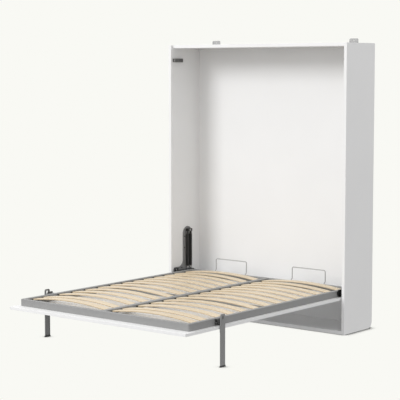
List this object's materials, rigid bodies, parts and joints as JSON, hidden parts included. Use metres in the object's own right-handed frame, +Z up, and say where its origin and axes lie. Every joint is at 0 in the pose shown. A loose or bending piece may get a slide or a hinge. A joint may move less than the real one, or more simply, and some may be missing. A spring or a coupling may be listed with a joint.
{
  "type": "wall bed",
  "caption": "Double wall bed shown open: a slatted steel bed frame on two folding legs that swings up on gas springs into a shallow white cabinet.",
  "frame": {"origin": "centre of the cabinet's base, on the floor", "axes": "+Z up, +Y towards the wall, +X to the right of somebody who faces the cabinet"},
  "size_m": [1.71, 2.198, 2.209],
  "materials": {
    "white_board": "white melamine, satin",
    "frame_steel": "grey powder coat",
    "leg_steel": "grey powder coat",
    "hinge_steel": "dark grey powder coat",
    "arm_steel": "black powder coat",
    "cover_plastic": "black, moulded",
    "slat_wood": "clear lacquered beech and birch ply",
    "holder_plastic": "black, moulded",
    "cylinder_black": "black gloss",
    "rod_chrome": "polished",
    "zinc_steel": "zinc plated",
    "fastener_steel": "zinc plated",
    "stop_wire": "grey powder coat",
    "bush_plastic": "natural nylon",
    "foot_plastic": "black, moulded",
    "latch_plastic": "dark grey, moulded",
    "plunger_plastic": "dark grey, moulded",
    "dowel_wood": "plain beech"
  },
  "bodies": {
    "cabinet": {"side_panel_left": "white_board", "side_panel_right": "white_board", "top_panel": "white_board", "bottom_panel": "white_board", "back_panel": "white_board", "panel_dowels": "dowel_wood", "wall_bracket_left": "zinc_steel", "wall_bracket_right": "zinc_steel", "hinge_plate_left": "hinge_steel", "hinge_plate_right": "hinge_steel", "pivot_pins": "zinc_steel", "pivot_covers": "cover_plastic", "spring_top_pins": "zinc_steel", "latch_body_left": "latch_plastic", "latch_body_right": "latch_plastic", "latch_plates": "zinc_steel", "hinge_plate_screws": "fastener_steel", "wall_bracket_screws": "fastener_steel", "latch_screws": "fastener_steel"},
    "bed": {"side_rail_left": "frame_steel", "side_rail_right": "frame_steel", "foot_rail": "frame_steel", "head_rail": "frame_steel", "centre_beam": "frame_steel", "cross_bar": "frame_steel", "slats_left": "slat_wood", "slats_right": "slat_wood", "rail_slat_holders_left": "holder_plastic", "rail_slat_holders_right": "holder_plastic", "beam_slat_holders_left": "holder_plastic", "beam_slat_holders_right": "holder_plastic", "front_panel": "white_board", "panel_angles": "zinc_steel", "bed_arm_left": "arm_steel", "bed_arm_right": "arm_steel", "pivot_bushes": "bush_plastic", "mattress_stop_left": "stop_wire", "mattress_stop_right": "stop_wire", "leg_bracket_left": "leg_steel", "leg_bracket_right": "leg_steel", "leg_pins": "arm_steel", "panel_angle_screws": "fastener_steel", "arm_bolts": "fastener_steel", "leg_bracket_bolts": "fastener_steel"},
    "leg_left": {"leg_left": "leg_steel", "leg_foot_left": "foot_plastic"},
    "gas_cylinders_left": {"gas_cylinders_left": "cylinder_black", "spring_head_left": "cylinder_black"},
    "gas_rods_left": {"gas_rods_left": "rod_chrome", "spring_foot_left": "cylinder_black", "spring_foot_pin_left": "zinc_steel"},
    "latch_plunger_left": {"latch_plunger_left": "plunger_plastic"},
    "leg_right": {"leg_right": "leg_steel", "leg_foot_right": "foot_plastic"},
    "gas_cylinders_right": {"gas_cylinders_right": "cylinder_black", "spring_head_right": "cylinder_black"},
    "gas_rods_right": {"gas_rods_right": "rod_chrome", "spring_foot_right": "cylinder_black", "spring_foot_pin_right": "zinc_steel"},
    "latch_plunger_right": {"latch_plunger_right": "plunger_plastic"}
  },
  "joints": [
    {"name": "bed_fold", "type": "hinge", "parent": "cabinet", "child": "bed", "pos_m": [0, -0.144, 0.307], "axis": [-1, 0, 0], "range_deg": [0, 90]},
    {"name": "leg_fold_left", "type": "hinge", "parent": "bed", "child": "leg_left", "pos_m": [-0.8245, -1.624, 0.305], "axis": [1, 0, 0], "range_deg": [0, 90]},
    {"name": "spring_swing_left", "type": "hinge", "parent": "cabinet", "child": "gas_cylinders_left", "pos_m": [-0.8105, 0.013, 0.652], "axis": [-1, 0, 0], "range_deg": [0, 18.2]},
    {"name": "spring_stroke_left", "type": "slide", "parent": "gas_cylinders_left", "child": "gas_rods_left", "axis": [0, 0, -1], "range_m": [0, 0.177]},
    {"name": "latch_press_left", "type": "slide", "parent": "cabinet", "child": "latch_plunger_left", "axis": [0, 1, 0], "range_m": [0, 0.004], "stiffness_N_per_m": 400, "springref_m": -0.002},
    {"name": "leg_fold_right", "type": "hinge", "parent": "bed", "child": "leg_right", "pos_m": [0.8245, -1.624, 0.305], "axis": [1, 0, 0], "range_deg": [0, 90]},
    {"name": "spring_swing_right", "type": "hinge", "parent": "cabinet", "child": "gas_cylinders_right", "pos_m": [0.8105, 0.013, 0.652], "axis": [-1, 0, 0], "range_deg": [0, 18.2]},
    {"name": "spring_stroke_right", "type": "slide", "parent": "gas_cylinders_right", "child": "gas_rods_right", "axis": [0, 0, -1], "range_m": [0, 0.177]},
    {"name": "latch_press_right", "type": "slide", "parent": "cabinet", "child": "latch_plunger_right", "axis": [0, 1, 0], "range_m": [0, 0.004], "stiffness_N_per_m": 400, "springref_m": -0.002}
  ],
  "couplings": [
    {"joint": "leg_fold_left", "follows": "bed_fold", "ratio": 1},
    {"joint": "spring_swing_left", "follows": "bed_fold", "ratio": 0.20102},
    {"joint": "spring_stroke_left", "follows": "bed_fold", "m_per_rad": 0.11212},
    {"joint": "leg_fold_right", "follows": "bed_fold", "ratio": 1},
    {"joint": "spring_swing_right", "follows": "bed_fold", "ratio": 0.20102},
    {"joint": "spring_stroke_right", "follows": "bed_fold", "m_per_rad": 0.11212}
  ]
}
